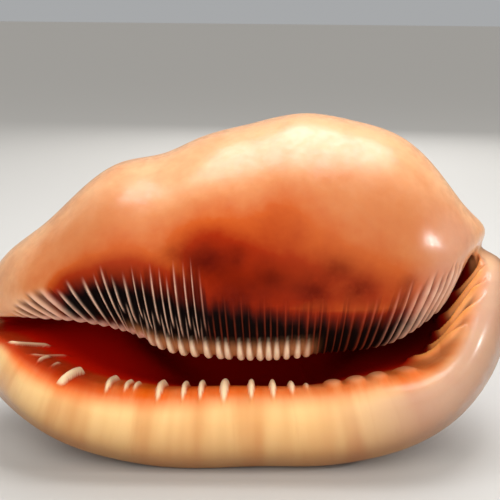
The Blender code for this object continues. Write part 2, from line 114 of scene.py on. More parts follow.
# The rings between those lines: the angles of those on the dome of the back, then (share of the way, share
# of the depth or swell), in the throat (share of the way, depth), and the angles of those in the hollow.
BACK_ANGLES = (0, 15, 32, 50, 70)
BEHIND_SHIELD = ((0.60, 0.75), (0.30, 0.50), (0.08, 0.25))
BEHIND_LIP = ((1.03, 0.62), (0.90, 0.36), (0.30, 0.20))
FRONT_SHIELD = (
    (0.04, 0.45), (0.125, 0.76), (0.25, 0.95), (0.43, 1.0), (0.66, 0.84), (0.84, 0.50), (0.95, 0.18),
)
FRONT_LIP = (
    (0.07, 0.51), (0.22, 0.85), (0.41, 1.0), (0.62, 0.98), (0.82, 0.71), (0.94, 0.38), (0.985, 0.15),
)
THROAT_SHIELD = ((0.03, 8.0), (0.16, 20.0), (0.62, 38.0))
THROAT_LIP = ((0.10, 10.0), (0.42, 23.0), (1.00, 38.0))
THROAT_DEPTH = 46.0
HOLLOW_ANGLES = (66, 42, 20, 0)
RING_GIRTH = 5
RIM = 164.2

# How far the growth leans sideways on its way out from the rim: (turn, turn gained per unit of reach).
LEAN = (
    (0.0, -0.1), (20.0, -0.6), (32.0, -0.9), (42.0, -0.9), (52.0, -0.5), (62.0, -0.2), (76.0, 0.0),
    (107.0, 0.2), (127.0, 0.3), (148.0, 0.8), (170.0, 0.85), (200.0, 0.1), (214.0, 0.0), (380.0, 0.0),
    (410.0, 0.6), (424.0, 0.8), (441.0, 0.5), (456.0, 0.2),
)
LEAN_REACH = 15.0

# How the shell rests: degrees it leans back and rolls, and the middle of its box on the floor.
LEAN_BACK = 13.0
ROLL = -0.6
MIDDLE = (-4.207, 47.178, -58.185)

# RIDGES of the shield: (turn, ridges counted from the apex), where each starts as (turn, reach), its
# height as (turn, height), how brightly its crest shows as (turn, share) and how narrow that crest is.
RIDGES = (
    (20.0, 0.0), (45.0, 6.5), (60.0, 12.0), (105.0, 32.0), (120.0, 38.0), (140.0, 45.0), (180.0, 53.5),
)
RIDGE_TOP = (
    (18.0, 150.5), (34.0, 150.6), (43.5, 152.2), (50.0, 153.4), (61.0, 154.8), (76.0, 154.6), (86.0, 154.0),
    (103.0, 153.0), (107.0, 147.5), (128.0, 149.6), (157.0, 149.8), (165.0, 151.2), (170.0, 153.5),
    (178.0, 157.0),
)
RIDGE_TOP_WAVER = ((0.9, 2.3, 0.0), (0.5, 5.1, 0.0))
RIDGE_TOP_EDGE = (-1.2, 3.2)
RIDGE_END_EDGE = (-1.6, 1.0)
RIDGE_DRIFT = ((0.10, 1.9, 0.0), (0.05, 5.3, 1.0))
RIDGE_SHARPNESS = 1.6
RIDGE_GROUND = 0.42
RIDGE_HEIGHT = (
    (16.0, 0.0), (23.0, 0.75), (40.0, 0.65), (52.0, 0.40), (76.0, 0.30), (100.0, 0.32), (108.0, 0.5),
    (130.0, 0.55), (165.0, 0.55), (182.0, 0.0),
)
RIDGE_SHINE = (
    (16.0, 0.0), (20.0, 1.0), (35.0, 0.85), (45.0, 0.5), (55.0, 0.25), (64.0, 0.1), (103.0, 0.15),
    (107.5, 0.7), (115.0, 0.75), (150.0, 0.9), (160.0, 1.0), (178.0, 0.8), (182.0, 0.0),
)
RIDGE_NARROW = (
    (16.0, 1.2), (32.0, 1.3), (42.0, 1.9), (52.0, 6.0), (64.0, 9.0), (100.0, 9.0), (108.0, 13.0),
    (136.0, 12.0), (146.0, 6.5), (156.0, 2.4), (180.0, 1.4),
)
FORK_TURNS = (104.0, 134.0, 2.0)
FORK_REACH = 157.0
FORK_EDGE = (-2.0, 2.0)
FORK_WAVER = ((0.9, 3.1, 0.0),)

# The black band beside the mouth: (turn, reach of its upper edge), and how dark the grooves are beside it.
BAND_TOP = (
    (24.0, 161.5), (29.5, 160.0), (34.5, 158.6), (39.5, 157.6), (48.0, 157.2), (63.0, 156.8),
    (76.0, 155.9), (91.0, 154.2), (98.0, 153.6), (108.0, 152.9), (116.0, 151.6), (121.0, 151.0),
    (134.5, 151.2), (146.0, 151.6), (150.0, 153.4), (153.0, 156.0), (158.0, 161.0),
)
GROOVE_SHADE = (
    (14.0, 0.0), (20.0, 0.50), (30.0, 0.62), (44.0, 0.62), (70.0, 0.7), (104.0, 0.8), (110.0, 0.75),
    (150.0, 0.8), (162.0, 0.85), (172.0, 0.7), (180.0, 0.0),
)

# The blunt teeth under the shield's edge: (turn, height), where they lie and how they widen downwards.
DENTICLES = (
    (125.0, 0.7), (122.0, 0.9), (118.1, 1.1), (114.2, 1.2), (110.4, 1.2), (106.0, 1.2), (102.0, 1.2),
    (99.3, 1.1), (95.2, 1.2), (92.1, 1.2), (88.7, 1.2), (85.7, 1.2), (83.0, 1.1), (79.6, 1.1), (75.9, 0.9),
    (72.7, 0.6),
)
DENTICLE_TALLEST = 1.2
DENTICLE_RISE = 1.25
DENTICLE_TURNS = (72.0, 127.0, 2.0)
DENTICLE_LENGTH = 4.6
DENTICLE_TOP = (157.6, 161.0)
DENTICLE_END = (164.9, 166.2)
DENTICLE_HALF = (0.50, 0.85)
DENTICLE_WIDENS_OVER = 4.5

# The orange crest of the lip: (turn, reach where it starts) and (turn, strength).
GLOW_START = (
    (222.0, 154.0), (246.0, 153.0), (256.0, 149.5), (264.0, 147.5), (286.0, 149.5), (306.0, 151.0),
    (332.0, 153.5), (400.0, 153.0), (440.0, 146.0),
)
GLOW_STRENGTH = (
    (222.0, 0.9), (300.0, 1.0), (325.0, 0.95), (350.0, 0.85), (395.0, 0.8), (415.0, 0.45),
)
GLOW_EDGE = (-7.0, 4.0)

# The finger shaped teeth of the outer lip, the last four of them low bumps: (turn, half width, height,
# reach of its foot, of its tip). Then how narrow the foot is, how it widens and rises, and its round tip.
TEETH = (
    (263.4, 0.9, 1.1, 158.0, 166.5), (268.5, 0.8, 0.9, 160.0, 166.0), (289.4, 1.1, 1.9, 154.5, 167.5),
    (295.3, 0.9, 1.5, 156.0, 166.5), (298.2, 0.8, 1.3, 157.0, 166.0), (306.2, 1.2, 2.2, 153.5, 168.0),
    (314.2, 1.0, 2.0, 154.0, 167.5), (319.8, 1.0, 2.1, 154.0, 167.5), (327.4, 1.45, 2.3, 152.5, 168.0),
    (336.2, 1.2, 2.2, 154.0, 168.0), (343.4, 1.2, 2.2, 154.5, 168.0), (349.8, 1.2, 1.8, 156.5, 167.0),
    (354.9, 1.0, 1.0, 158.5, 166.0), (363.9, 3.0, 1.3, 158.5, 167.5), (371.6, 3.2, 1.3, 158.5, 167.5),
    (379.4, 3.2, 1.2, 158.5, 167.5), (390.5, 4.0, 1.1, 158.5, 167.5),
)
TOOTH_FOOT = 0.55
TOOTH_WIDENS = (-2.0, 6.0)
TOOTH_RISES = (-5.5, 5.0)
TOOTH_PAST_TIP = 1.5
TOOTH_ROUND_TIP = 2.2

# Slanting teeth and folds, each a line of (turn, reach), then its half width and height.
SLANTED = (
    (((274.0, 149.5), (276.0, 158.0), (277.6, 165.5)), 1.2, 2.5),
    (((247.4, 155.5), (252.4, 164.5), (256.6, 172.5)), 1.0, 1.2),
    (((258.0, 159.0), (262.4, 166.0), (265.0, 173.0)), 0.8, 0.8),
)
FOLDS = (
    (((398.4, 172.0), (404.9, 166.0), (409.9, 162.5), (414.9, 151.0)), 2.6, 1.9),
    (((409.0, 172.0), (412.4, 164.0), (419.4, 154.2), (422.9, 145.5)), 2.3, 1.9),
    (((416.0, 174.0), (419.9, 162.5), (429.9, 153.2), (432.9, 145.5)), 2.3, 2.0),
    (((423.0, 176.0), (431.9, 161.2), (437.4, 154.0), (443.4, 144.5)), 2.5, 2.0),
    (((433.0, 180.0), (439.4, 167.2), (444.9, 156.2), (448.4, 143.0)), 2.4, 1.6),
)
SLANTED_WIDENING = 1.15
SLANTED_START = (-1.0, 4.0)
SLANTED_END = (-1.5, 2.0)
FOLD_SHARPNESS = 1.4
FOLD_WIDENING = 0.5
FOLD_WIDENS = (148.0, 160.0)
FOLD_START = (-3.0, 8.0)
FOLD_END = (-3.0, 5.0)
FOLDS_TOP = (143.0, 156.0)
FOLDS_END = (170.2, 182.2)
FOLDS_START_TURN = (394.0, 408.0)
FOLDS_END_TURN = (446.0, 456.0)
FOLD_TALLEST = 2.0
FOLD_RISE = 3.1
FOLD_SINK = 1.5

# BACK: rows of knobs (x, height, spread, first angle), the angle between two knobs of a row and how much
# each strays, then the seam of the spire, the glaze's margin and the part of the back that it leaves bare.
KNOB_ROWS = ((46.0, 5.6, 8.6, 8.0), (20.0, 4.8, 7.8, 24.0), (-6.0, 2.5, 7.0, 12.0), (-30.0, 2.2, 6.2, 30.0))
KNOB_ANGLE = 38.0
KNOBS_EACH_WAY = 3
KNOB_STRAY = 3.0
KNOB_VARIATION = 0.16
KNOB_SHOULDER = 0.16
KNOB_LONGER = 1.1
KNOB_BLUNTNESS = 0.35
KNOB_STEEPNESS = 0.9
GROWTH_SLANT = 0.05
AXIS = (44.0, 10.0)
SEAM_RADII = (29.0, 17.5, 10.4, 6.2, 3.7)
SEAM_DEPTH = 0.20
SEAM_WIDTH = 0.11
SEAM_FADE = (1.0, 6.0)
WHORL_BULGE = 0.5
WHORL_WIDEST = 9.0
SPIRE_REACH = (98.0, 106.0)
SPIRE_X = (30.0, 44.0)
CALLUS_REACH = 102.0
CALLUS_WAVER = ((1.6, 0.11, 0.0), (0.9, 0.31, 1.0))
CALLUS_STEP = 0.7
CALLUS_LEDGE = (-1.0, 1.5)
CALLUS_MARGIN = (-2.5, 1.5)
CALLUS_THINS = (120.0, 140.0)
BARE_FROM = (-112.0, -84.0)
BARE_TO = (54.0, 82.0)
BARE_REACH = (88.0, 104.0)


def spline_weights(knots, samples, period=None):
    """Weights that read a smooth cubic curve at the samples from values held at the knots."""
    knots = np.asarray(knots, float)
    count = len(knots)
    spans = np.diff(knots)
    if period is not None:
        spans = np.append(spans, period - knots[-1] + knots[0])
    left = np.zeros((count, count))
    right = np.zeros((count, count))
    for i in range(count):
        if period is None and i in (0, count - 1):
            left[i, i] = 1
            continue
        before, after = (i - 1) % count, (i + 1) % count
        left[i, before] += spans[i - 1]
        left[i, i] += 2 * (spans[i - 1] + spans[i])
        left[i, after] += spans[i]
        right[i, before] += 6 / spans[i - 1]
        right[i, i] -= 6 / spans[i - 1] + 6 / spans[i]
        right[i, after] += 6 / spans[i]
    bends = np.linalg.solve(left, right)
    where = np.asarray(samples, float)
    last = count - 2
    if period is not None:
        where = knots[0] + np.mod(where - knots[0], period)
        last = count - 1
    i = np.clip(np.searchsorted(knots, where, side="right") - 1, 0, last)
    span = spans[i]
    b = (where - knots[i]) / span
    a = 1 - b
    rows = np.arange(len(where))
    weights = np.zeros((len(where), count))
    weights[rows, i] += a
    weights[rows, (i + 1) % count] += b
    weights += ((a**3 - a) * span**2 / 6)[:, None] * bends[i]
    weights += ((b**3 - b) * span**2 / 6)[:, None] * bends[(i + 1) % count]
    return weights


def smooth_step(low, high, value):
    """0 below low, 1 above high, and a smooth rise between them."""
    share = np.clip((value - low) / (high - low), 0, 1)
    return share * share * (3 - 2 * share)


def soft_min(a, b, softness):
    """The lesser of a and b, rounded where they cross."""
    blend = np.clip(0.5 + 0.5 * (b - a) / softness, 0, 1)
    return b + (a - b) * blend - softness * blend * (1 - blend)


EDGE = np.array([s[0] for s in STATIONS])
MOUTH = np.array([s[1] for s in STATIONS])
SWELL = np.array([s[2] for s in STATIONS])
SIDE = np.array([s[3] for s in STATIONS])
STEPS = 0.5 * sum(np.linalg.norm(np.roll(line, -1, 0) - line, axis=1) for line in (EDGE, MOUTH))
TURN_KNOTS = np.concatenate([[0], np.cumsum(STEPS)[:-1]])
TURN_LENGTH = STEPS.sum()


def on_cone(points):
    """Points of the back, kept behind the cone of the spire."""
    radius = np.hypot(points[:, 1] - SPIRE_TIP[1], points[:, 2] - SPIRE_TIP[2])
    kept = points.copy()
    kept[:, 0] = soft_min(points[:, 0], SPIRE_TIP[0] - SPIRE_SLOPE * radius, SPIRE_SOFTNESS)
    return kept


def girth_line(edge):
    """The widest line of the body whorl, in the direction of each point of the outer edge."""
    across = edge[:, 0] - BODY_MIDDLE[0]
    up = edge[:, 2] - BODY_MIDDLE[1]
    half_x = np.where(across > 0, BODY_RIGHT, BODY_LEFT)
    half_z = np.where(up > 0, BODY_TOP, BODY_BOTTOM)
    scale = soft_min(1 / np.hypot(across / half_x, up / half_z), GIRTH_LIMIT, GIRTH_SOFTNESS)
    depth = np.full(len(edge), GIRTH_DEPTH)
    return np.stack([BODY_MIDDLE[0] + across * scale, depth, BODY_MIDDLE[1] + up * scale], 1)


def dome(girth, crown, degrees, end_fall=CANAL_END_FALL):
    """A ring on the dome that rises from the girth line to its crown."""
    angle = math.radians(degrees)
    ring = crown + (girth - crown) * math.sin(angle)
    fall = 1 - end_fall * smooth_step(*END_FALL_SPAN, -ring[:, 0])
    ring[:, 1] = girth[:, 1] + (crown[1] - girth[:, 1]) * math.cos(angle) * fall
    return on_cone(ring)


def rings(turn):
    """Every ring of the shell at the given turns, from the middle of the back into the hollow."""
    weights = spline_weights(TURN_KNOTS, turn, TURN_LENGTH)
    edge, mouth, swell = weights @ EDGE, weights @ MOUTH, weights @ SWELL
    side = np.clip(weights @ SIDE, 0, 1)
    apex_end = side * smooth_step(*APEX_END_SPAN, edge[:, 0])
    crown = np.array(BACK_POINT)
    girth = girth_line(edge)
    made = [dome(girth, crown, a) for a in BACK_ANGLES]
    made.append(on_cone(girth))
    for (share_s, depth_s), (share_l, depth_l) in zip(BEHIND_SHIELD, BEHIND_LIP):
        share = share_s + (share_l - share_s) * side - APEX_PULL_BEHIND * apex_end * depth_l
        ring = edge + (made[RING_GIRTH] - edge) * share[:, None]
        ring[:, 1] = edge[:, 1] + (GIRTH_DEPTH - edge[:, 1]) * (depth_s + (depth_l - depth_s) * side)
        made.append(ring)
    made.append(edge)
    for (share_s, swell_s), (share_l, swell_l) in zip(FRONT_SHIELD, FRONT_LIP):
        share = share_s + (share_l - share_s) * side
        ring = edge + (mouth - edge) * share[:, None]
        ring[:, 1] -= swell * (swell_s + (swell_l - swell_s) * side)
        made.append(ring)
    made.append(mouth)
    away = girth - np.array([BODY_MIDDLE[0], GIRTH_DEPTH, BODY_MIDDLE[1]])
    wall = WALL + (END_WALL - WALL) * smooth_step(*END_WALL_SPAN, np.abs(girth[:, 0]))
    hollow = girth - away / np.linalg.norm(away, axis=1)[:, None] * wall[:, None]
    for (share_s, depth_s), (share_l, depth_l) in zip(THROAT_SHIELD, THROAT_LIP):
        share = share_s + (share_l - share_s) * side
        share *= 1 - APEX_PULL_THROAT * apex_end * (1 - share_l)
        ring = mouth + (hollow - mouth) * share[:, None]
        depth = (depth_s + (depth_l - depth_s) * side) / THROAT_DEPTH
        ring[:, 1] = mouth[:, 1] + depth * (hollow[:, 1] - mouth[:, 1])
        made.append(ring)
    inner_crown = crown - np.array([0, WALL, 0])
    for angle in HOLLOW_ANGLES:
        ring = dome(hollow, inner_crown, angle, HOLLOW_END_FALL)
        covered = dome(girth, crown, angle)[:, 0] - WALL * SPIRE_WALL
        ring[:, 0] = np.where(ring[:, 0] > SPIRE_SIDE, np.minimum(ring[:, 0], covered), ring[:, 0])
        made.append(ring)
    return np.array(made)


EVEN_TURNS = np.linspace(0, TURN_LENGTH, 240, endpoint=False)
RING_GAPS = np.linalg.norm(np.diff(rings(EVEN_TURNS), axis=0), axis=2).mean(1)
REACH_KNOTS = np.concatenate([[0], np.cumsum(RING_GAPS)])


def surface(turn, reach):
    """The bare form of the shell at matching turns and reaches."""
    return np.einsum("nk,knc->nc", spline_weights(REACH_KNOTS, reach), rings(turn))


def outward(turn, reach):
    """The direction that points out of the bare form."""
    small = 0.05
    low = np.clip(reach - small, 0.5, REACH_KNOTS[-1] - 1)
    high = np.clip(reach + small, 1, REACH_KNOTS[-1] - 0.5)
    along_turn = surface(turn + small, (low + high) / 2) - surface(turn - small, (low + high) / 2)
    along_reach = surface(turn, high) - surface(turn, low)
    normal = np.cross(along_turn, along_reach)
    normal[reach < 0.5] = (0, 1, 0)
    return normal / np.maximum(np.linalg.norm(normal, axis=1), 1e-9)[:, None]


def table(pairs, value):
    """Reads a table of pairs, in straight lines between its entries."""
    keys, values = zip(*pairs)
    return np.interp(value, keys, values)


def leaned(turn, reach):
    """The turn that a line of growth has reached when it starts at the given turn on the rim."""
    pairs = LEAN + ((TURN_LENGTH, LEAN[0][1]),)
    lean = table(pairs, np.mod(turn, TURN_LENGTH))
    run = np.clip(RIM - reach, -4, None)
    return turn + lean * LEAN_REACH * np.tanh(run / LEAN_REACH)


def bump(value, middle, half_width):
    """A smooth hump, 1 at its middle and nearly 0 two half widths away."""
    return np.exp(-(((value - middle) / half_width) ** 2))


def patch(turn, reach, middle, spread):
    """A soft spot on the surface, 1 at its middle."""
    return bump(turn, middle[0], spread[0]) * bump(reach, middle[1], spread[1])


def within(low, high, soft, value):
    """1 between low and high, falling softly to 0 outside them."""
    return smooth_step(low - soft, low + soft, value) * (1 - smooth_step(high - soft, high + soft, value))


def waver(value, waves):
    """A small irregular shift: sine waves of (size, pace, start) added together."""
    return sum(amount * np.sin(pace * value + start) for amount, pace, start in waves)


def ridge_count(turn):
    """The running number of ridges at a turn, with the uneven gaps that growth leaves."""
    count = table(RIDGES, turn)
    return count + waver(count, RIDGE_DRIFT)


def ridge_span(turn, reach):
    """How fully the ridges are grown: they start above the band and end at the rim."""
    top = table(RIDGE_TOP, turn) + waver(np.round(ridge_count(turn)), RIDGE_TOP_WAVER)
    end = RIM - DENTICLE_LENGTH * within(*DENTICLE_TURNS, turn)
    return smooth_step(*RIDGE_TOP_EDGE, reach - top) * (1 - smooth_step(*RIDGE_END_EDGE, reach - end))


def forks(turn, reach):
    """0 where the upper set of ridges runs and 1 where the lower, shifted set has taken over."""
    ragged = FORK_REACH + waver(np.round(ridge_count(turn)), FORK_WAVER)
    return within(*FORK_TURNS, turn) * smooth_step(*FORK_EDGE, reach - ragged)


def ridges(turn, reach):
    """The fine ridges that fan out over the shield from the mouth."""
    count = ridge_count(turn)
    upper = (0.5 + 0.5 * np.cos(2 * math.pi * count)) ** RIDGE_SHARPNESS
    lower = (0.5 - 0.5 * np.cos(2 * math.pi * count)) ** RIDGE_SHARPNESS
    wave = upper + (lower - upper) * forks(turn, reach)
    return (wave - RIDGE_GROUND) * 2 * table(RIDGE_HEIGHT, turn) * ridge_span(turn, reach)


def denticle_form(turn, reach):
    """Each blunt tooth under the shield's edge, pointed above and round below: 0 to 1."""
    share = np.clip((reach - DENTICLE_TOP[0]) / DENTICLE_WIDENS_OVER, 0.02, 1)
    half = DENTICLE_HALF[0] + DENTICLE_HALF[1] * share**0.6
    form = sum(h / DENTICLE_TALLEST * np.clip(1 - ((turn - t) / half) ** 2, 0, 1) for t, h in DENTICLES)
    return form * smooth_step(*DENTICLE_TOP, reach) * (1 - smooth_step(*DENTICLE_END, reach))


def denticles(turn, reach):
    """The height of the blunt teeth under the shield's edge."""
    return DENTICLE_RISE * np.sqrt(np.clip(denticle_form(turn, reach), 0, 1))


def tooth_form(turn, reach):
    """How far the lip's teeth stand up: the finger shaped ones, round across, and the slanting ones."""
    total = np.zeros(len(turn))
    for middle, half, tall, foot, tip in TEETH:
        taper = half * (TOOTH_FOOT + (1 - TOOTH_FOOT) * smooth_step(*TOOTH_WIDENS, reach - foot))
        across = np.clip(1 - ((turn - middle) / taper) ** 2, 0, 1) ** 0.5
        rounded = np.clip((tip + TOOTH_PAST_TIP - reach) / TOOTH_ROUND_TIP, 0, 1) ** 0.5
        total = np.maximum(total, tall * across * smooth_step(*TOOTH_RISES, reach - foot) * rounded)
    for line, half, tall in SLANTED:
        total = np.maximum(total, tall * raised_line(turn, reach, line, half * SLANTED_WIDENING))
    return total


def raised_line(turn, reach, line, half):
    """A ridge along a line of (turn, reach) points, round across: 0 to 1."""
    ordered = sorted((r, t) for t, r in line)
    middle = table(ordered, reach)
    across = np.clip(1 - ((turn - middle) / half) ** 2, 0, 1) ** 0.5
    low, high = ordered[0][0], ordered[-1][0]
    return across * smooth_step(*SLANTED_START, reach - low) * (1 - smooth_step(*SLANTED_END, reach - high))


def fold_form(turn, reach):
    """The broad folds inside the lip's apex end: 0 in the grooves to 1 on the crests."""
    total = np.zeros(len(turn))
    for line, half, tall in FOLDS:
        ordered = sorted((r, t) for t, r in line)
        middle = table(ordered, reach)
        wide = half * (1 + FOLD_WIDENING * (1 - smooth_step(*FOLD_WIDENS, reach)))
        crest = np.exp(-np.abs((turn - middle) / wide) ** FOLD_SHARPNESS)
        low, high = ordered[0][0], ordered[-1][0]
        along = smooth_step(*FOLD_START, reach - low) * (1 - smooth_step(*FOLD_END, reach - high))
        total = np.maximum(total, crest * along * tall / FOLD_TALLEST)
    return total


def folds(turn, reach):
    """The height of the folds, which sink between each other."""
    sunk = smooth_step(*FOLDS_START_TURN, turn) * (1 - smooth_step(*FOLDS_END_TURN, turn))
    sunk *= smooth_step(*FOLDS_TOP, reach) * (1 - smooth_step(*FOLDS_END, reach))
    return FOLD_RISE * fold_form(turn, reach) - FOLD_SINK * sunk


def back_angle(points):
    """Degrees round the shell's long axis, 0 straight back and positive towards the shield."""
    return np.degrees(np.arctan2(points[:, 2] - AXIS[1], points[:, 1] - AXIS[0]))


def uncovered(points, reach):
    """1 on the part of the back that the glaze leaves bare."""
    angle = back_angle(points)
    free = smooth_step(*BARE_FROM, angle) * (1 - smooth_step(*BARE_TO, angle))
    return free * (1 - smooth_step(*BARE_REACH, reach))


def knobs(points, reach):
    """The rows of knobs round the back of the body whorl."""
    angle = back_angle(points)
    radius = np.hypot(points[:, 2] - AXIS[1], points[:, 1] - AXIS[0])
    total = np.zeros(len(points))
    for row, (x, tall, spread, first) in enumerate(KNOB_ROWS):
        for number in range(-KNOBS_EACH_WAY, KNOBS_EACH_WAY + 1):
            middle = first + KNOB_ANGLE * number + KNOB_STRAY * math.sin(5.1 * number + row)
            rise = tall * (1 + KNOB_VARIATION * math.sin(2.7 * number + 1.3 * row))
            along = points[:, 0] - x - GROWTH_SLANT * (angle - first)
            around = np.radians(angle - middle) * radius
            away = (along / spread) ** 2 + (around / spread / KNOB_LONGER) ** 2
            total += rise * np.exp(-(away + KNOB_BLUNTNESS * away**2) * KNOB_STEEPNESS)
        total += KNOB_SHOULDER * tall * np.exp(-(((points[:, 0] - x) / spread) ** 2))
    return total * uncovered(points, reach)


def spire(points, reach):
    """The grooved seam that winds up to the apex, and the whorls that bulge between its turns."""
    radius = np.hypot(points[:, 1] - SPIRE_TIP[1], points[:, 2] - SPIRE_TIP[2])
    angle = np.degrees(np.arctan2(points[:, 2] - SPIRE_TIP[2], points[:, 1] - SPIRE_TIP[1]))
    ratio = math.log(SEAM_RADII[0] / SEAM_RADII[-1]) / (len(SEAM_RADII) - 1)
    winds = np.log(SEAM_RADII[0] / np.maximum(radius, 2.5)) / ratio - angle / 360
    share = winds - np.floor(winds)
    dip = np.exp(-((np.minimum(share, 1 - share) / SEAM_WIDTH) ** 2))
    width = radius * (1 - math.exp(-ratio))
    bulge = np.sin(math.pi * share) ** 0.7
    depth = SEAM_DEPTH * np.clip(width, 0, WHORL_WIDEST)
    facing = (1 - smooth_step(*SPIRE_REACH, reach)) * smooth_step(*SPIRE_X, points[:, 0])
    near = 1 - smooth_step(*SEAM_FADE, radius - SEAM_RADII[0])
    return (bulge * WHORL_BULGE - dip) * depth * facing * near


def callus_margin(turn):
    """The reach at which the glaze ends on the back."""
    return CALLUS_REACH + waver(turn, CALLUS_WAVER)


def callus(turn, reach):
    """The thin glaze that laps over the back and ends in a low ledge."""
    ledge = smooth_step(*CALLUS_LEDGE, reach - callus_margin(turn))
    return CALLUS_STEP * ledge * (1 - smooth_step(*CALLUS_THINS, reach))


def height(turn, reach, points):
    """How far the finished shell stands out from its bare form."""
    relief = ridges(turn, reach) + denticles(turn, reach) + tooth_form(turn, reach) + folds(turn, reach)
    return relief + knobs(points, reach) + spire(points, reach) + callus(turn, reach)


def skin(turn, reach):
    """Points of the finished shell in its own frame."""
    grown = leaned(turn, reach)
    points = surface(grown, reach)
    raised = height(np.mod(turn, TURN_LENGTH), reach, points)
    return points + outward(grown, reach) * raised[:, None]


# COLOUR MASKS, each 0 to 1 at every point of the surface. A spot is (middle, spread, strength).
WARM_SPOTS = (
    ((92.0, 149.0), (22.0, 7.0), 0.56), ((98.0, 154.0), (18.0, 6.0), 0.30),
    ((70.0, 152.5), (16.0, 6.0), 0.40), ((104.0, 146.0), (10.0, 4.0), 0.25),
    ((80.0, 141.5), (9.0, 4.0), 0.22), ((104.0, 141.5), (12.0, 4.5), 0.22),
    ((50.0, 153.0), (14.0, 5.5), 0.36), ((36.0, 156.0), (8.0, 5.0), 0.20),
    ((128.0, 146.0), (16.0, 5.0), 0.26), ((150.0, 147.0), (14.0, 5.0), 0.20),
    ((140.0, 139.0), (18.0, 6.0), 0.12), ((60.0, 143.0), (14.0, 6.0), 0.14),
)
MOTTLES = (
    ((103.0, 147.5), (6.0, 1.9), 0.8), ((96.0, 152.6), (4.5, 1.8), 0.7), ((72.0, 152.6), (5.0, 1.9), 0.8),
    ((59.5, 152.2), (4.0, 1.6), 0.7), ((94.0, 147.0), (2.4, 1.1), 0.7), ((85.0, 150.5), (4.5, 1.5), 0.5),
    ((66.0, 149.5), (4.5, 1.4), 0.5), ((112.0, 145.5), (5.0, 1.6), 0.4), ((47.0, 151.5), (3.0, 1.4), 0.4),
)
DUSKY_SPOTS = (((52.0, 141.0), (24.0, 9.0), 0.60), ((132.0, 138.0), (18.0, 8.0), 0.50))
WARM_GROUND = 0.10
WARM_FROM = (118.0, 140.0)
WARM_TURNS = (10.0, 200.0, 8.0)
HALO_STRENGTH = 0.88
HALO_WIDTH = 2.6
HALO_WIDENING = 4.9
HALO_WIDER_TURNS = (104.0, 158.0, 6.0)
HALO_TURNS = (40.0, 158.0, 6.0)
BAND_WAVER = ((0.35, 0.8, 0.0), (0.25, 1.9, 0.0))
BAND_EDGE = (-1.4, 1.6)
BAND_TURNS = (22.0, 160.0, 3.0)
BAND_FOOT = (158.4, 161.8)
BAND_FOOT_TURNS = (71.0, 200.0, 3.0)
STRIP_TURNS = (124.0, 186.0, 4.0)
STRIP_REACH = (161.0, 165.8, 0.9)
TAN_TURNS = (71.0, 132.0, 4.0)
TAN_REACH = (159.6, 165.6, 1.3)
DIM_CREST_TURNS = (50.0, 150.0, 6.0)
DIM_CREST_REACH = (157.5, 163.3, 1.5)
BLOTCH_TURNS = (246.0, 274.0, 303.0, 333.0, 362.0, 391.0, 420.0)
BLOTCH_REACH = 103.0
BLOTCH_SPREAD = (5.0, 9.5)
LIP_START = (206.0, 222.0)
LIP_END = (452.0, 463.0)
LOW_BUMPS_START = (357.0, 362.0)
# Painted shade between the lip's folds: its turns, its reach, and the turns over which it deepens.
FOLD_ZONE_TURNS = (396.0, 450.0, 5.0)
FOLD_ZONE_REACH = (148.0, 158.0)
FOLD_ZONE_DARKER = (406.0, 424.0)
ROSY_LIP = ((372.0, 452.0, 22.0), (118.0, 150.0, 6.0))
ROSY_NOSE = ((12.0, 42.0, 8.0), (136.0, 158.0, 6.0))
DULL_TURNS = (264.0, 384.0, 10.0)
RED_END_TURNS = (276.0, 300.0)
RED_END_REACH = (148.0, 157.0)
# Painted shade on the lip's underside fades out over this reach.
UNDER_LIP = (119.0, 141.0)
THROAT_SPAN = (164.5, 186.0)
# Painted shadow deep in the mouth's apex end: its turns on the shield's side and the lip's side, and its
# reach.
DARK_END_SHIELD = (-10.0, 72.0, 15.0)
DARK_END_LIP = (368.0, 415.0)
DARK_END_REACH = (166.0, 176.0)
KNOB_TOP = 4.5
SEAM_BOTTOM = 1.2


def spotted(turn, reach, spots):
    """The sum of soft spots."""
    return sum(strength * patch(turn, reach, middle, spread) for middle, spread, strength in spots)


def dusk(turn, reach):
    """The duller peach at both sides of the shield's front."""
    return np.clip(spotted(turn, reach, DUSKY_SPOTS), 0, 1)


def mottles(turn, reach):
    """The dark clouds in the red of the shield."""
    return np.clip(spotted(turn, reach, MOTTLES), 0, 1)


def warmth(turn, reach):
    """From the pale peach of the shield's top to the deep red beside its band."""
    total = WARM_GROUND * smooth_step(*WARM_FROM, reach) + spotted(turn, reach, WARM_SPOTS)
    above = np.clip(table(BAND_TOP, turn) - reach, 0, None)
    wide = HALO_WIDTH + HALO_WIDENING * within(*HALO_WIDER_TURNS, turn)
    halo = HALO_STRENGTH * np.exp(-((above / wide) ** 2)) * within(*HALO_TURNS, turn)
    return np.clip(np.maximum(total, halo) * within(*WARM_TURNS, turn), 0, 1)


def dark_band(turn, reach):
    """The black band beside the mouth."""
    top = table(BAND_TOP, turn) + waver(turn, BAND_WAVER)
    down = 1 - smooth_step(*BAND_FOOT, reach) * within(*BAND_FOOT_TURNS, turn)
    return smooth_step(*BAND_EDGE, reach - top) * down * within(*BAND_TURNS, turn)


def groove_shade(turn, reach):
    """How dark the grooves between the ridges are."""
    return table(GROOVE_SHADE, turn) * ridge_span(turn, reach)


def crest_shine(turn, reach):
    """How brightly the crests of the ridges show; they dim just above the small teeth."""
    dim = within(*DIM_CREST_REACH, reach) * within(*DIM_CREST_TURNS, turn)
    return table(RIDGE_SHINE, turn) * (1 - 0.3 * dim)


def ivory(turn, reach):
    """The white of the small teeth."""
    return smooth_step(0.05, 0.85, denticle_form(turn, reach))


def rim_strip(turn, reach):
    """The pale beaded strip along the rim on the canal's side."""
    beads = 0.80 + 0.2 * np.cos(2 * math.pi * ridge_count(turn))
    return within(*STRIP_TURNS, turn) * within(*STRIP_REACH, reach) * beads


def rim_tan(turn, reach):
    """The tan strip between the small teeth."""
    return within(*TAN_TURNS, turn) * within(*TAN_REACH, reach)


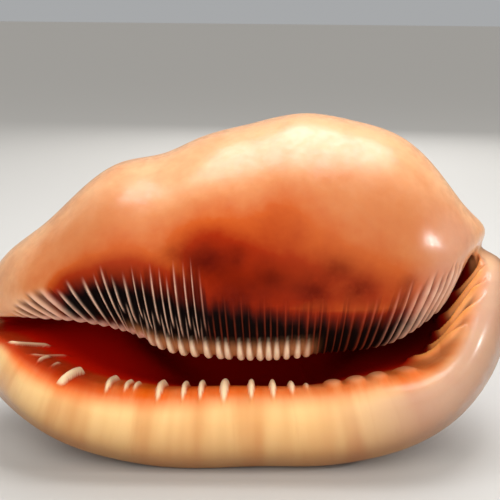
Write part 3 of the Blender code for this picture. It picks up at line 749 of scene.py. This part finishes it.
def lip_side(turn):
    """0 on the shield and 1 on the outer lip."""
    return smooth_step(*LIP_START, turn) * (1 - smooth_step(*LIP_END, turn))


def lip_glow(turn, reach):
    """The orange crest of the outer lip, just before its rim."""
    begun = smooth_step(*GLOW_EDGE, reach - table(GLOW_START, turn))
    return lip_side(turn) * begun * table(GLOW_STRENGTH, turn)


def red_end(turn, reach):
    """The deep red of the lip's crest towards the canal."""
    return lip_side(turn) * (1 - smooth_step(*RED_END_TURNS, turn)) * smooth_step(*RED_END_REACH, reach)


def under_lip(turn, reach):
    """The painted shade that darkens the lip towards its underside."""
    return (1 - smooth_step(*UNDER_LIP, reach)) * lip_side(turn)


def rosy(turn, reach):
    """The rosy skin of the lip's upturned end and, fainter, of the nose."""
    on_lip = within(*ROSY_LIP[0], turn) * within(*ROSY_LIP[1], reach)
    return np.maximum(on_lip, 0.8 * within(*ROSY_NOSE[0], turn) * within(*ROSY_NOSE[1], reach))


def fold_groove_shade(turn, reach):
    """Where painted shade darkens the grooves between the folds, more so towards the apex end."""
    darker = 0.4 + 0.6 * smooth_step(*FOLD_ZONE_DARKER, turn)
    return within(*FOLD_ZONE_TURNS, turn) * smooth_step(*FOLD_ZONE_REACH, reach) * darker


def dull(turn, reach):
    """Where the lip has little gloss: along its middle, and on its crest outside the folds."""
    crest = lip_glow(turn, reach) * (1 - fold_groove_shade(turn, reach))
    return np.maximum(0.85 * within(*DULL_TURNS, turn), crest) * lip_side(turn)


def tooth_tips(turn, reach):
    """The cream of the lip's teeth, faint on the low bumps past the last of them."""
    form = tooth_form(turn, reach)
    return smooth_step(0.35, 1.2, form) * (1 - 0.8 * smooth_step(*LOW_BUMPS_START, turn))


def blotches(turn, reach):
    """The brown blotches along the back of the outer lip."""
    total = sum(patch(turn, reach, (middle, BLOTCH_REACH), BLOTCH_SPREAD) for middle in BLOTCH_TURNS)
    return np.clip(1.3 * total, 0, 1)


def throat(reach):
    """How deep inside the mouth a point lies."""
    return smooth_step(*THROAT_SPAN, reach)


def apex_end_shadow(turn, reach):
    """The painted shadow that blackens the deep inside of the mouth's apex end."""
    side = np.maximum(within(*DARK_END_SHIELD, turn), smooth_step(*DARK_END_LIP, turn))
    return side * smooth_step(*DARK_END_REACH, reach)


def bare_back(turn, reach):
    """The back that the glaze hasn't covered."""
    return 1 - smooth_step(*CALLUS_MARGIN, reach - callus_margin(turn))


def masks(turn, reach, bare):
    """Every mask and count that the glaze reads, by name; bare holds the points of the bare form."""
    shine = crest_shine(turn, reach)
    return {
        "warmth": warmth(turn, reach),
        "mottle": mottles(turn, reach),
        "dusk": dusk(turn, reach),
        "band": dark_band(turn, reach),
        "ridge": ridge_count(turn),
        "fork": forks(turn, reach),
        "shine": shine,
        "crest": ridge_span(turn, reach) * (0.30 + 0.70 * shine),
        "narrow": table(RIDGE_NARROW, turn),
        "groove": groove_shade(turn, reach),
        "ivory": ivory(turn, reach),
        "rim_tan": rim_tan(turn, reach),
        "strip": rim_strip(turn, reach),
        "apex_end_shadow": apex_end_shadow(turn, reach),
        "blotch": blotches(turn, reach),
        "tips": tooth_tips(turn, reach),
        "lip": lip_side(turn),
        "glow": lip_glow(turn, reach),
        "fold": fold_form(turn, reach) * lip_side(turn),
        "fold_groove_shade": fold_groove_shade(turn, reach),
        "rosy": rosy(turn, reach),
        "dull": dull(turn, reach),
        "red_end": red_end(turn, reach),
        "under": under_lip(turn, reach),
        "throat": throat(reach),
        "bare_back": bare_back(turn, reach),
        "knob": np.clip(knobs(bare, reach) / KNOB_TOP, 0, 1),
        "seam": np.clip(-spire(bare, reach) / SEAM_BOTTOM, 0, 1),
        "along_axis": bare[:, 0] - GROWTH_SLANT * back_angle(bare),
    }


# The flat grid: how many fine columns lie before each turn, and how many rows before each reach.
COLUMNS = (
    (0.0, 0), (20.0, 30), (45.0, 82), (60.0, 124), (105.0, 270), (120.0, 318), (140.0, 374), (180.0, 450),
    (245.0, 490), (280.0, 590), (395.0, 874), (445.0, 966), (TURN_LENGTH, 1000),
)
ROWS = (
    (0.0, 0), (84.0, 44), (99.0, 54), (114.0, 66), (145.0, 86), (160.0, 110), (170.0, 138), (178.0, 146),
    (205.0, 158), (REACH_KNOTS[-1], 184),
)
FINE = 4
FINE_ROWS = (86, 146)


def flat_grid():
    """The flat grid, with its columns split finer along the ridges and teeth."""
    mesh = bmesh.new()
    columns, rows = COLUMNS[-1][1] // FINE, ROWS[-1][1]
    bmesh.ops.create_grid(mesh, x_segments=columns, y_segments=rows, size=1)
    low, high = (2 * row / rows - 1 for row in FINE_ROWS)
    along = [
        e for e in mesh.edges
        if abs(e.verts[0].co.y - e.verts[1].co.y) < 1e-5 and low - 1e-4 < e.verts[0].co.y < high + 1e-4
    ]
    bmesh.ops.subdivide_edges(mesh, edges=along, cuts=FINE - 1, use_grid_fill=False)
    wide = [f for f in mesh.faces if len(f.verts) > 4]
    bmesh.ops.triangulate(mesh, faces=wide)
    return mesh


def set_down():
    """The matrix that leans the shell back on its feet and brings it to the floor, in metres."""
    lean = Matrix.Rotation(math.radians(-LEAN_BACK), 4, "X") @ Matrix.Rotation(math.radians(ROLL), 4, "Y")
    return Matrix.Scale(MM, 4) @ Matrix.Translation(-Vector(MIDDLE)) @ lean


def grown_shell():
    """The shell's surface as one closed piece that carries its masks."""
    mesh = flat_grid()
    flat = (np.array([v.co for v in mesh.verts]) + 1) / 2
    turns, turn_counts = zip(*COLUMNS)
    reaches, reach_counts = zip(*ROWS)
    turn = np.interp(flat[:, 0] * turn_counts[-1], turn_counts, turns)
    reach = np.interp(flat[:, 1] * reach_counts[-1], reach_counts, reaches)
    unwrapped = mesh.loops.layers.uv.new("growth")
    turn_layer = mesh.verts.layers.float.new("turn")
    reach_layer = mesh.verts.layers.float.new("reach")
    for vertex, point, t, r in zip(mesh.verts, skin(turn, reach), turn, reach):
        for loop in vertex.link_loops:
            loop[unwrapped].uv = (t / TURN_LENGTH, r / REACH_KNOTS[-1])
        vertex[turn_layer] = t
        vertex[reach_layer] = r
        vertex.co = Vector(point)
    bmesh.ops.remove_doubles(mesh, verts=mesh.verts, dist=0.02)
    bmesh.ops.recalc_face_normals(mesh, faces=mesh.faces)
    mesh.transform(set_down())
    for vertex in mesh.verts:
        vertex.co.z = max(vertex.co.z, 0.0)
    data = bpy.data.meshes.new("grown_shell")
    mesh.to_mesh(data)
    mesh.free()
    data.shade_smooth()
    shell = bpy.data.objects.new("grown_shell", data)
    bpy.context.scene.collection.objects.link(shell)
    return shell


def held(data, name):
    """The values of one float attribute of the mesh."""
    values = np.zeros(len(data.vertices), dtype=np.float32)
    data.attributes[name].data.foreach_get("value", values)
    return values.astype(float)


def write_masks(shell):
    """Writes every mask on the mesh."""
    data = shell.data
    turn, reach = np.mod(held(data, "turn"), TURN_LENGTH), held(data, "reach")
    bare = surface(leaned(turn, reach), reach)
    for name, values in masks(turn, reach, bare).items():
        layer = data.attributes.new(name, "FLOAT", "POINT")
        layer.data.foreach_set("value", np.asarray(values, dtype=np.float32))


def srgb(*values):
    """A colour given as 0 to 255 on a screen, as the shader's linear values."""
    linear = [v / 255 / 12.92 if v <= 10 else ((v / 255 + 0.055) / 1.055) ** 2.4 for v in values]
    return (*linear, 1.0)


class Glaze:
    """Short ways to lay nodes in one material."""

    def __init__(self, name):
        self.material = bpy.data.materials.new(name)
        self.material.use_nodes = True
        self.nodes = self.material.node_tree.nodes
        self.links = self.material.node_tree.links
        self.shader = self.nodes["Principled BSDF"]

    def put(self, socket, value):
        """Joins or sets one socket."""
        if isinstance(value, bpy.types.NodeSocket):
            self.links.new(value, socket)
        else:
            socket.default_value = value

    def mask(self, name):
        """One of the masks on the mesh."""
        node = self.nodes.new("ShaderNodeAttribute")
        node.attribute_name = name
        return node.outputs["Fac"]

    def math(self, operation, a, b=0.0, clamp=False):
        """One sum on values."""
        node = self.nodes.new("ShaderNodeMath")
        node.operation = operation
        node.use_clamp = clamp
        self.put(node.inputs[0], a)
        self.put(node.inputs[1], b)
        return node.outputs[0]

    def spread(self, value, low, high, to_low=0.0, to_high=1.0):
        """Stretches a value from one range to another, smoothly and within bounds."""
        node = self.nodes.new("ShaderNodeMapRange")
        node.interpolation_type = "SMOOTHSTEP"
        names = ("Value", "From Min", "From Max", "To Min", "To Max")
        for name, amount in zip(names, (value, low, high, to_low, to_high)):
            self.put(node.inputs[name], amount)
        return node.outputs[0]

    def over(self, under, colour, mask):
        """Lays a colour over another where the mask says."""
        node = self.nodes.new("ShaderNodeMix")
        node.data_type = "RGBA"
        node.clamp_factor = True
        self.put(node.inputs["Factor"], mask)
        self.put(node.inputs[6], under)
        self.put(node.inputs[7], colour)
        return node.outputs[2]

    def cloud(self, scale, detail, roughness=0.55, stretch=(1, 1, 1), coordinates="Object"):
        """Soft noise on the shell's own coordinates or its growth map."""
        where = self.nodes.new("ShaderNodeTexCoord")
        fitted = self.nodes.new("ShaderNodeMapping")
        fitted.inputs["Scale"].default_value = stretch
        self.links.new(where.outputs[coordinates], fitted.inputs["Vector"])
        node = self.nodes.new("ShaderNodeTexNoise")
        node.inputs["Scale"].default_value = scale
        node.inputs["Detail"].default_value = detail
        node.inputs["Roughness"].default_value = roughness
        self.links.new(fitted.outputs[0], node.inputs["Vector"])
        return node.outputs["Fac"]

    def ramp(self, value, stops):
        """Reads a run of colours."""
        node = self.nodes.new("ShaderNodeValToRGB")
        self.put(node.inputs[0], value)
        elements = node.color_ramp.elements
        while len(elements) < len(stops):
            elements.new(0.5)
        for element, (place, colour) in zip(elements, stops):
            element.position = place
            element.color = colour
        return node.outputs["Color"]


PEACH_TO_RED = (
    (0.0, srgb(240, 180, 130)), (0.22, srgb(216, 134, 80)), (0.45, srgb(200, 88, 30)),
    (0.70, srgb(160, 38, 3)), (1.0, srgb(104, 14, 0)),
)
# The black of the band, and also the painted shadow in the mouth's apex end.
BAND_AND_SHADOW_BLACK = srgb(8, 1, 1)
GROOVE_RED = srgb(70, 12, 4)
MOTTLE_BROWN = srgb(84, 8, 0)
CREST_PINK = srgb(238, 194, 168)
DUSKY_PEACH = srgb(190, 112, 66)
SHIELD_ROSE = srgb(204, 142, 120)
CREST_RED = srgb(156, 62, 38)
RIM_PINK = srgb(226, 178, 160)
TOOTH_IVORY = srgb(250, 222, 190)
TOOTH_CREAM = srgb(250, 214, 172)
RIM_TAN = srgb(176, 118, 76)
LIP_CREAM = srgb(255, 208, 142)
LIP_TAN = srgb(222, 146, 84)
# Painted shade for the lip's underside.
LIP_SHADE = srgb(150, 100, 66)
LIP_ROSE = srgb(198, 154, 132)
LIP_ORANGE = srgb(234, 96, 10)
THROAT_RED = srgb(222, 30, 6)
THROAT_MAROON = srgb(186, 14, 6)
LIP_RED = srgb(176, 38, 10)
# Partly the folds' own orange, partly a painted highlight: it is laid on their crests.
FOLD_ORANGE = srgb(246, 158, 82)
# Painted shade in the grooves between the folds.
FOLD_SHADE_BROWN = srgb(78, 16, 4)
BLOTCH_BROWN = srgb(112, 52, 26)
BACK_BROWN = srgb(142, 74, 46)
BACK_CREAM = srgb(230, 188, 146)
BACK_GREY = srgb(176, 132, 110)


def shield_colour(g, broad, fine):
    """The shield, from pale peach to deep red with brown clouds."""
    warm = g.mask("warmth")
    for noise, amount in ((broad, 0.26), (g.cloud(95, 3.0), 0.22), (fine, 0.12)):
        warm = g.math("ADD", warm, g.math("MULTIPLY", g.math("SUBTRACT", noise, 0.5), amount))
    shield = g.ramp(warm, PEACH_TO_RED)
    shield = g.over(shield, DUSKY_PEACH, g.mask("dusk"))
    shield = g.over(shield, SHIELD_ROSE, g.math("MULTIPLY", g.mask("rosy"), 0.6))
    cloudy = g.math("MULTIPLY", g.mask("mottle"), g.spread(fine, 0.2, 0.7, 0.45, 1.0))
    return g.over(shield, MOTTLE_BROWN, cloudy)


def lip_colour(g):
    """The outer lip: cream with faint bands, orange towards its crest, painted shade on its underside and
    dark brown painted shade between the folds, and the folds' orange, partly a painted highlight on their
    crests.
    """
    streaks = g.cloud(1.0, 4.0, 0.6, (90, 5, 1), "UV")
    bands = g.cloud(1.0, 2.0, 0.5, (34, 2.0, 1), "UV")
    lip = g.over(LIP_CREAM, LIP_TAN, g.spread(bands, 0.40, 0.68, 0.0, 0.85))
    lip = g.over(lip, LIP_TAN, g.spread(streaks, 0.5, 0.8, 0.0, 0.35))
    lip = g.over(lip, LIP_ROSE, g.math("MULTIPLY", g.mask("rosy"), 0.85))
    # Painted shade: the lip darkens towards its underside.
    lip = g.over(lip, LIP_SHADE, g.math("MULTIPLY", g.mask("under"), 0.75))
    glow = g.math("MULTIPLY", g.mask("glow"), g.spread(streaks, 0.2, 0.7, 0.75, 1.0))
    lip = g.over(lip, LIP_ORANGE, glow)
    lip = g.over(lip, LIP_RED, g.math("MULTIPLY", g.mask("red_end"), 0.85))
    fold = g.mask("fold")
    # Painted shade in the grooves between the folds, deeper towards the apex end.
    groove = g.math("MULTIPLY", g.mask("fold_groove_shade"), g.spread(fold, 0.20, 0.62, 0.95, 0.0))
    lip = g.over(lip, FOLD_SHADE_BROWN, groove)
    # The folds' orange on their crests, partly a painted highlight.
    return g.over(lip, FOLD_ORANGE, g.math("MULTIPLY", g.spread(fold, 0.40, 0.9), 0.85))


def mouth_colour(g, face):
    """The mouth: deep red, then maroon, and black painted shadow at its apex end."""
    depth = g.mask("throat")
    face = g.over(face, THROAT_RED, g.spread(depth, 0.02, 0.30))
    face = g.over(face, THROAT_MAROON, g.spread(depth, 0.25, 0.95))
    # Painted shadow: black over the deep inside of the apex end.
    return g.over(face, BAND_AND_SHADOW_BLACK, g.math("MULTIPLY", g.mask("apex_end_shadow"), 0.85))


def ridge_colour(g, face, fine):
    """The black band, the grooves and pale crests of the ridges, and every tooth."""
    wave = g.math("MULTIPLY", g.math("COSINE", g.math("MULTIPLY", g.mask("ridge"), 2 * math.pi)), 0.5)
    upper = g.math("POWER", g.math("ADD", wave, 0.5, clamp=True), g.mask("narrow"))
    lower = g.math("POWER", g.math("SUBTRACT", 0.5, wave, clamp=True), g.mask("narrow"))
    upper = g.math("MULTIPLY", upper, g.spread(g.mask("fork"), 0.45, 0.95, 1.0, 0.0))
    lower = g.math("MULTIPLY", lower, g.spread(g.mask("fork"), 0.05, 0.55, 0.0, 0.75))
    both = g.math("MAXIMUM", upper, lower)
    low = g.math("SUBTRACT", 1.0, both, clamp=True)
    line = g.math("MULTIPLY", both, g.mask("crest"))
    line = g.math("MULTIPLY", line, g.spread(fine, 0.25, 0.65, 0.6, 1.0))
    face = g.over(face, GROOVE_RED, g.math("MULTIPLY", low, g.mask("groove")))
    face = g.over(face, BAND_AND_SHADOW_BLACK, g.mask("band"))
    face = g.over(face, RIM_TAN, g.mask("rim_tan"))
    face = g.over(face, RIM_PINK, g.mask("strip"))
    face = g.over(face, g.over(CREST_RED, CREST_PINK, g.spread(g.mask("shine"), 0.15, 0.7)), line)
    face = g.over(face, TOOTH_IVORY, g.mask("ivory"))
    return g.over(face, TOOTH_CREAM, g.mask("tips"))


def back_colour(g, fine):
    """The bare back: brown and grey patches, pale knobs and a dark seam."""
    patches = g.cloud(46, 4.0, 0.6)
    back = g.over(BACK_BROWN, BACK_GREY, g.spread(patches, 0.40, 0.62))
    back = g.over(back, BACK_CREAM, g.math("MULTIPLY", g.mask("knob"), 0.9))
    back = g.over(back, BACK_BROWN, g.math("MULTIPLY", g.spread(fine, 0.5, 0.7), 0.4))
    return g.over(back, BLOTCH_BROWN, g.math("MULTIPLY", g.mask("seam"), 0.8))


def gloss(g, fine):
    """Bright glaze, duller on the bare back and in the red, the band and the throat."""
    rough = g.spread(fine, 0.2, 0.8, 0.30, 0.42)
    rough = g.math("ADD", rough, g.math("MULTIPLY", g.mask("bare_back"), 0.22))
    rough = g.math("ADD", rough, g.math("MULTIPLY", g.mask("band"), 0.15))
    g.put(g.shader.inputs["Roughness"], rough)
    warm = g.math("MULTIPLY", g.spread(g.mask("warmth"), 0.15, 0.6), 0.85)
    sheltered = g.math("MAXIMUM", g.mask("band"), g.spread(g.mask("throat"), 0.1, 0.6))
    sheltered = g.math("MAXIMUM", g.math("MAXIMUM", sheltered, warm), g.mask("dull"))
    frost = g.spread(g.cloud(300, 4.0, 0.7), 0.38, 0.62, 0.62, 1.0)
    coat = g.math("MULTIPLY", g.spread(sheltered, 0.0, 1.0, 0.95, 0.0), frost)
    g.put(g.shader.inputs["Coat Weight"], coat)
    g.shader.inputs["Specular IOR Level"].default_value = 0.06
    g.shader.inputs["Coat Roughness"].default_value = 0.24
    g.shader.inputs["Subsurface Weight"].default_value = 0.12
    g.shader.inputs["Subsurface Radius"].default_value = (1.0, 0.35, 0.15)
    g.shader.inputs["Subsurface Scale"].default_value = 0.004


def fine_relief(g):
    """Growth lines and spiral cords on the back, and faint waves in the glaze."""
    cords = g.math("MULTIPLY", g.math("SINE", g.math("MULTIPLY", g.mask("along_axis"), 2.6)), 0.5)
    growth = g.cloud(1.0, 3.0, 0.6, (120, 14, 1), "UV")
    woven = g.math("MULTIPLY", g.math("ADD", cords, growth), g.mask("bare_back"))
    relief = g.math("ADD", g.math("MULTIPLY", woven, 0.8), g.math("MULTIPLY", g.cloud(60, 2.0), 0.9))
    relief = g.math("ADD", relief, g.math("MULTIPLY", g.cloud(420, 2.0), 0.25))
    node = g.nodes.new("ShaderNodeBump")
    node.inputs["Strength"].default_value = 0.35
    node.inputs["Distance"].default_value = 0.0004
    g.put(node.inputs["Height"], relief)
    g.put(g.shader.inputs["Normal"], node.outputs["Normal"])


def shell_glaze():
    """The shell's one material: peach, red and black glaze in front, a bare mottled back, painted shade
    in the mouth's apex end, under the lip and between its folds, and painted highlight on the folds'
    crests.
    """
    g = Glaze("shell_glaze")
    broad = g.cloud(38, 3.0)
    fine = g.cloud(210, 3.0)
    face = g.over(shield_colour(g, broad, fine), lip_colour(g), g.mask("lip"))
    face = ridge_colour(g, mouth_colour(g, face), fine)
    ragged = g.math("ADD", g.mask("bare_back"), g.math("MULTIPLY", g.math("SUBTRACT", broad, 0.5), 0.9))
    colour = g.over(face, back_colour(g, fine), g.spread(ragged, 0.38, 0.62))
    blotchy = g.math("MULTIPLY", g.mask("blotch"), g.spread(broad, 0.3, 0.5, 0.6, 1.0))
    g.put(g.shader.inputs["Base Color"], g.over(colour, BLOTCH_BROWN, blotchy))
    gloss(g, fine)
    fine_relief(g)
    return g.material


# THE STUDIO: floor, sky, lights and camera. Lengths are in metres and the daylight's width is in degrees.
# The camera's place, its sensor and its lens are in millimetres, its place in the shell's own frame.
FLOOR_HALF = 30.0
FLOOR_COLOUR = srgb(198, 195, 190)
FLOOR_ROUGHNESS = 0.75
SKY_COLOUR = (0.92, 0.94, 0.96, 1)
SKY_ON_SHELL = 0.22
SKY_SEEN = 0.42
SHELL_MIDDLE = (0.0, 0.0, 0.05)
COOL_WHITE = (0.95, 0.97, 1.0)
WARM_WHITE = (1.0, 0.98, 0.95)
PLAIN_WHITE = (1, 1, 1)
DAYLIGHT_WIDTH = 60
CAMERA_PLACE = (0, -300, 12)
CAMERA_SENSOR = 36
CAMERA_LENS = 72
CAMERA_NEAR = 0.01


def floor():
    """A plain pale floor."""
    mesh = bmesh.new()
    bmesh.ops.create_grid(mesh, x_segments=1, y_segments=1, size=FLOOR_HALF)
    data = bpy.data.meshes.new("floor")
    mesh.to_mesh(data)
    mesh.free()
    g = Glaze("pale_floor")
    g.shader.inputs["Base Color"].default_value = FLOOR_COLOUR
    g.shader.inputs["Roughness"].default_value = FLOOR_ROUGHNESS
    data.materials.append(g.material)
    ground = bpy.data.objects.new("floor", data)
    bpy.context.scene.collection.objects.link(ground)


def soft_light(name, place, width, power, colour=PLAIN_WHITE, mirrored=True):
    """A square studio light that faces the shell; the glaze can be kept from mirroring it."""
    lamp = bpy.data.lights.new(name, "AREA")
    lamp.size = width
    lamp.energy = power
    lamp.color = colour
    holder = bpy.data.objects.new(name, lamp)
    holder.location = place
    holder.visible_glossy = mirrored
    holder.rotation_euler = (Vector(place) - Vector(SHELL_MIDDLE)).to_track_quat("Z", "Y").to_euler()
    bpy.context.scene.collection.objects.link(holder)


def daylight(name, place, strength):
    """Even light from a wide patch of sky, which the glaze doesn't mirror."""
    lamp = bpy.data.lights.new(name, "SUN")
    lamp.energy = strength
    lamp.angle = math.radians(DAYLIGHT_WIDTH)
    lamp.color = WARM_WHITE
    holder = bpy.data.objects.new(name, lamp)
    holder.visible_glossy = False
    holder.rotation_euler = Vector(place).to_track_quat("Z", "Y").to_euler()
    bpy.context.scene.collection.objects.link(holder)


def pale_world():
    """A plain pale sky, dimmer on the shell than the camera sees it."""
    world = bpy.data.worlds.new("studio")
    bpy.context.scene.world = world
    world.use_nodes = True
    nodes, links = world.node_tree.nodes, world.node_tree.links
    sky = nodes["Background"]
    sky.inputs["Color"].default_value = SKY_COLOUR
    path = nodes.new("ShaderNodeLightPath")
    strength = nodes.new("ShaderNodeMapRange")
    strength.inputs["To Min"].default_value = SKY_ON_SHELL
    strength.inputs["To Max"].default_value = SKY_SEEN
    links.new(path.outputs["Is Camera Ray"], strength.inputs["Value"])
    links.new(strength.outputs[0], sky.inputs["Strength"])


def front_camera():
    """The camera at the photograph's angle."""
    lens = bpy.data.cameras.new("camera")
    lens.sensor_width = CAMERA_SENSOR
    lens.lens = CAMERA_LENS
    lens.clip_start = CAMERA_NEAR
    camera = bpy.data.objects.new("camera", lens)
    place = Matrix.Translation(CAMERA_PLACE) @ Matrix.Rotation(math.radians(90), 4, "X")
    seen = set_down() @ place
    camera.matrix_world = Matrix.LocRotScale(seen.to_translation(), seen.to_quaternion(), (1, 1, 1))
    bpy.context.scene.collection.objects.link(camera)
    bpy.context.scene.camera = camera


def studio():
    """The floor, the sky, the lights and the camera."""
    floor()
    pale_world()
    soft_light("key", (0.06, 0.12, 0.62), 0.43, 3.5, COOL_WHITE)
    daylight("front", (-0.20, -1.15, 1.00), 2.15)
    soft_light("side", (0.78, -0.24, 0.34), 0.05, 1.5)
    soft_light("back", (0.10, 0.80, 0.40), 0.40, 2.0, mirrored=False)
    front_camera()
    bpy.context.scene.view_settings.view_transform = "Standard"


shell = grown_shell()
write_masks(shell)
shell.data.materials.append(shell_glaze())
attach(shell, "root")
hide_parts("shell")
studio()
